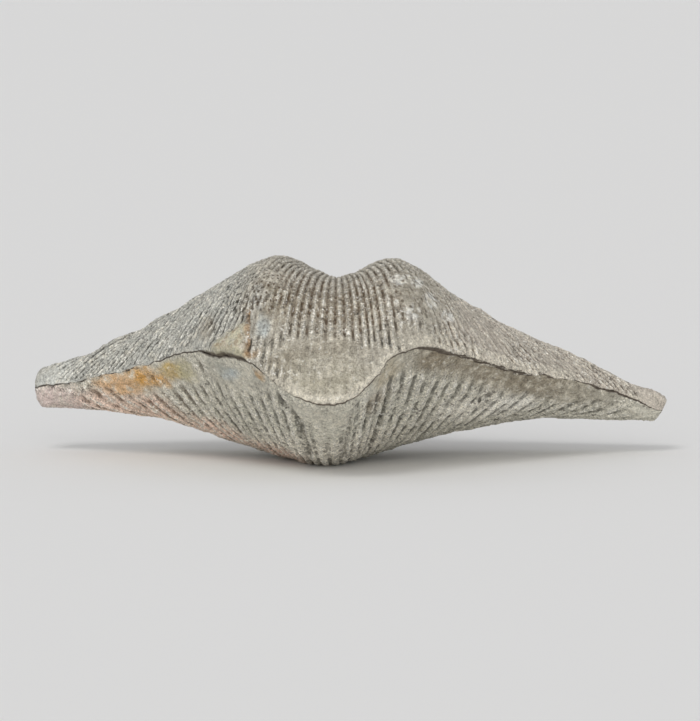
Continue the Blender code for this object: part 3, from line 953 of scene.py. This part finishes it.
class FossilSettings(bpy.types.PropertyGroup):
    """Sizes and colours of the fossil and its stage."""

    rib_height: FloatProperty(
        name="Rib height", description="From furrow to crest", default=0.36 * MM,
        subtype="DISTANCE", unit="LENGTH",
    )
    bead_length: FloatProperty(
        name="Bead length", description="From one growth bead on a rib to the next", default=0.55 * MM,
        subtype="DISTANCE", unit="LENGTH",
    )
    bead_height: FloatProperty(
        name="Bead height", description="How far the growth beads stand out", default=0.035 * MM,
        subtype="DISTANCE", unit="LENGTH",
    )
    weathering: FloatProperty(
        name="Weathering", description="How rough the worn surface is", default=1.0, min=0.0,
        subtype="FACTOR",
    )
    seam: FloatProperty(
        name="Seam", description="Gap between the valves", default=0.02 * MM,
        subtype="DISTANCE", unit="LENGTH",
    )
    stone_colour: FloatVectorProperty(
        name="Stone", description="Grey-beige of the bare stone", default=srgb(178, 171, 156)[:3],
        subtype="COLOR",
    )
    # Painted paler than the upper valve's stone: the extra paleness is painted light that lifts the shade
    # on the lower valve's down-facing underside.
    lower_colour: FloatVectorProperty(
        name="Lower stone", description="Grey of the lower valve", default=srgb(206, 202, 187)[:3],
        subtype="COLOR",
    )
    cool_colour: FloatVectorProperty(
        name="Cool stone", description="Grey of the left flank", default=srgb(180, 179, 170)[:3],
        subtype="COLOR",
    )
    warm_colour: FloatVectorProperty(
        name="Warm stone", description="Beige of the right flank", default=srgb(190, 181, 167)[:3],
        subtype="COLOR",
    )
    # Cream makes the stone's pale mottles and also the painted highlights on the beads.
    cream_colour: FloatVectorProperty(
        name="Cream", description="Pale rubbed places", default=srgb(208, 201, 184)[:3],
        subtype="COLOR",
    )
    # Darkens the furrows and pits as dirt and as painted shade.
    furrow_colour: FloatVectorProperty(
        name="Furrows", description="Dirt between the ribs", default=srgb(92, 74, 54)[:3],
        subtype="COLOR",
    )
    floor_colour: FloatVectorProperty(
        name="Floor", description="Plain pale floor", default=srgb(238, 237, 234)[:3],
        subtype="COLOR",
    )
    sun: FloatProperty(name="Sun", description="Strength of the soft main light", default=0.8, min=0.0)
    front_light: FloatProperty(
        name="Front light", description="Strength of the low light from the front", default=1.4, min=0.0
    )
    daylight: FloatProperty(
        name="Daylight", description="Strength of the even light from all round", default=0.55, min=0.0
    )


def build_valve(kind, add_relief, paint):
    """Grows one valve, makes it a plain mesh and hands it to the frame."""
    settings = bpy.context.scene.fossil
    valve = VALVES[kind]
    edge = edge_object(kind + "_edge", valve)
    tree = grow_tree(kind, add_relief)
    modifier = edge.modifiers.new("Grow", "NODES")
    modifier.node_group = tree
    values = {
        "Columns": len(edge.data.vertices),
        "Rings": RINGS,
        "Outer share": (OUTER_RINGS - 1) / (RINGS - 1),
        "Beak": valve["beak"],
        "Contact centre": CONTACT_CENTRE,
        "Side": valve["side"],
        "Rise power": valve["rise"][0],
        "Rise root": valve["rise"][1],
        "Taper": valve["taper"],
        "Umbo": valve["umbo"],
        "Seam": settings.seam / MM,
        "Rib height": settings.rib_height / MM,
        "Rib lean": valve["lean"],
        "Dash length": valve["dash"][0],
        "Dash share": valve["dash"][1],
        "Bead length": settings.bead_length / MM,
        "Bead height": settings.bead_height / MM * valve["bead"],
        "Weathering": settings.weathering,
        "Material": stone_material(kind + "_stone", paint, valve, settings),
    }
    for item in tree.interface.items_tree:
        if item.name in values:
            modifier[item.identifier] = values[item.name]
    graph = bpy.context.evaluated_depsgraph_get()
    mesh = bpy.data.meshes.new_from_object(edge.evaluated_get(graph), depsgraph=graph)
    mesh.name = kind + "_shell"
    bpy.data.objects.remove(edge, do_unlink=True)
    piece = bpy.data.objects.new(kind + "_shell", mesh)
    bpy.context.scene.collection.objects.link(piece)
    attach(piece, "root")
    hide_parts(valve["node"])
    return piece


class FOSSIL_OT_ventral_valve(bpy.types.Operator):
    """Grow the upper valve of the fossil"""

    bl_idname = "fossil.ventral_valve"
    bl_label = "Ventral Valve"

    def execute(self, context):
        build_valve("ventral", ventral_relief, ventral_paint)
        return {"FINISHED"}


class FOSSIL_OT_dorsal_valve(bpy.types.Operator):
    """Grow the lower valve of the fossil"""

    bl_idname = "fossil.dorsal_valve"
    bl_label = "Dorsal Valve"

    def execute(self, context):
        build_valve("dorsal", dorsal_relief, dorsal_paint)
        return {"FINISHED"}


def plain_material(name, colour, roughness):
    material = bpy.data.materials.new(name)
    material.use_nodes = True
    shader = material.node_tree.nodes["Principled BSDF"]
    shader.inputs["Base Color"].default_value = colour
    shader.inputs["Roughness"].default_value = roughness
    return material


def add_floor(settings):
    mesh = bpy.data.meshes.new("floor")
    half = FLOOR_HALF_WIDTH * MM
    corners = [(-half, -half, 0.0), (half, -half, 0.0), (half, half, 0.0), (-half, half, 0.0)]
    mesh.from_pydata(corners, [], [(0, 1, 2, 3)])
    mesh.materials.append(plain_material("floor_paper", opaque(settings.floor_colour), 0.9))
    floor = bpy.data.objects.new("floor", mesh)
    bpy.context.scene.collection.objects.link(floor)


def add_lamp(name, strength, height, left, width):
    """A soft distant light; height, left of the viewer and width are angles in degrees."""
    data = bpy.data.lights.new(name, "SUN")
    data.energy = strength
    data.angle = math.radians(width)
    lamp = bpy.data.objects.new(name, data)
    lamp.rotation_euler = (math.radians(90.0 - height), 0.0, math.radians(-left))
    bpy.context.scene.collection.objects.link(lamp)


def add_camera():
    tilt = math.radians(CAMERA_TILT_DEG)
    ahead = Vector((0.0, math.cos(tilt), -math.sin(tilt)))
    data = bpy.data.cameras.new("camera")
    data.sensor_width = SENSOR
    data.lens = SENSOR * CAMERA_DISTANCE / PICTURE_HEIGHT
    camera = bpy.data.objects.new("camera", data)
    camera.location = (Vector(CAMERA_TARGET) - ahead * CAMERA_DISTANCE) * MM
    camera.rotation_euler = (math.pi / 2.0 - tilt, 0.0, 0.0)
    data.clip_end = 3.0 * FLOOR_HALF_WIDTH * MM
    bpy.context.scene.collection.objects.link(camera)
    bpy.context.scene.camera = camera


def add_daylight(strength):
    world = bpy.data.worlds.new("daylight")
    world.use_nodes = True
    sky = world.node_tree.nodes["Background"]
    sky.inputs["Color"].default_value = srgb(*SKY)
    sky.inputs["Strength"].default_value = strength
    bpy.context.scene.world = world
    bpy.context.scene.view_settings.view_transform = "Standard"


class FOSSIL_OT_stage(bpy.types.Operator):
    """Add the floor, the lamps and the camera"""

    bl_idname = "fossil.stage"
    bl_label = "Stage"

    def execute(self, context):
        settings = context.scene.fossil
        add_floor(settings)
        add_lamp("sun", settings.sun, *SUN_PLACE)
        add_lamp("front_light", settings.front_light, *FRONT_PLACE)
        add_daylight(settings.daylight)
        add_camera()
        return {"FINISHED"}


class FOSSIL_PT_panel(bpy.types.Panel):
    bl_label = "Brachiopod Fossil"
    bl_space_type = "VIEW_3D"
    bl_region_type = "UI"
    bl_category = "Fossil"

    def draw(self, context):
        settings = context.scene.fossil
        for name in FossilSettings.__annotations__:
            self.layout.prop(settings, name)
        for operator in OPERATORS:
            self.layout.operator(operator.bl_idname)


OPERATORS = (FOSSIL_OT_ventral_valve, FOSSIL_OT_dorsal_valve, FOSSIL_OT_stage)
CLASSES = (FossilSettings, *OPERATORS, FOSSIL_PT_panel)


def register():
    for item in CLASSES:
        bpy.utils.register_class(item)
    bpy.types.Scene.fossil = PointerProperty(type=FossilSettings)


def unregister():
    del bpy.types.Scene.fossil
    for item in reversed(CLASSES):
        bpy.utils.unregister_class(item)


def main():
    register()
    bpy.ops.fossil.ventral_valve()
    bpy.ops.fossil.dorsal_valve()
    bpy.ops.fossil.stage()


if __name__ == "__main__":
    main()
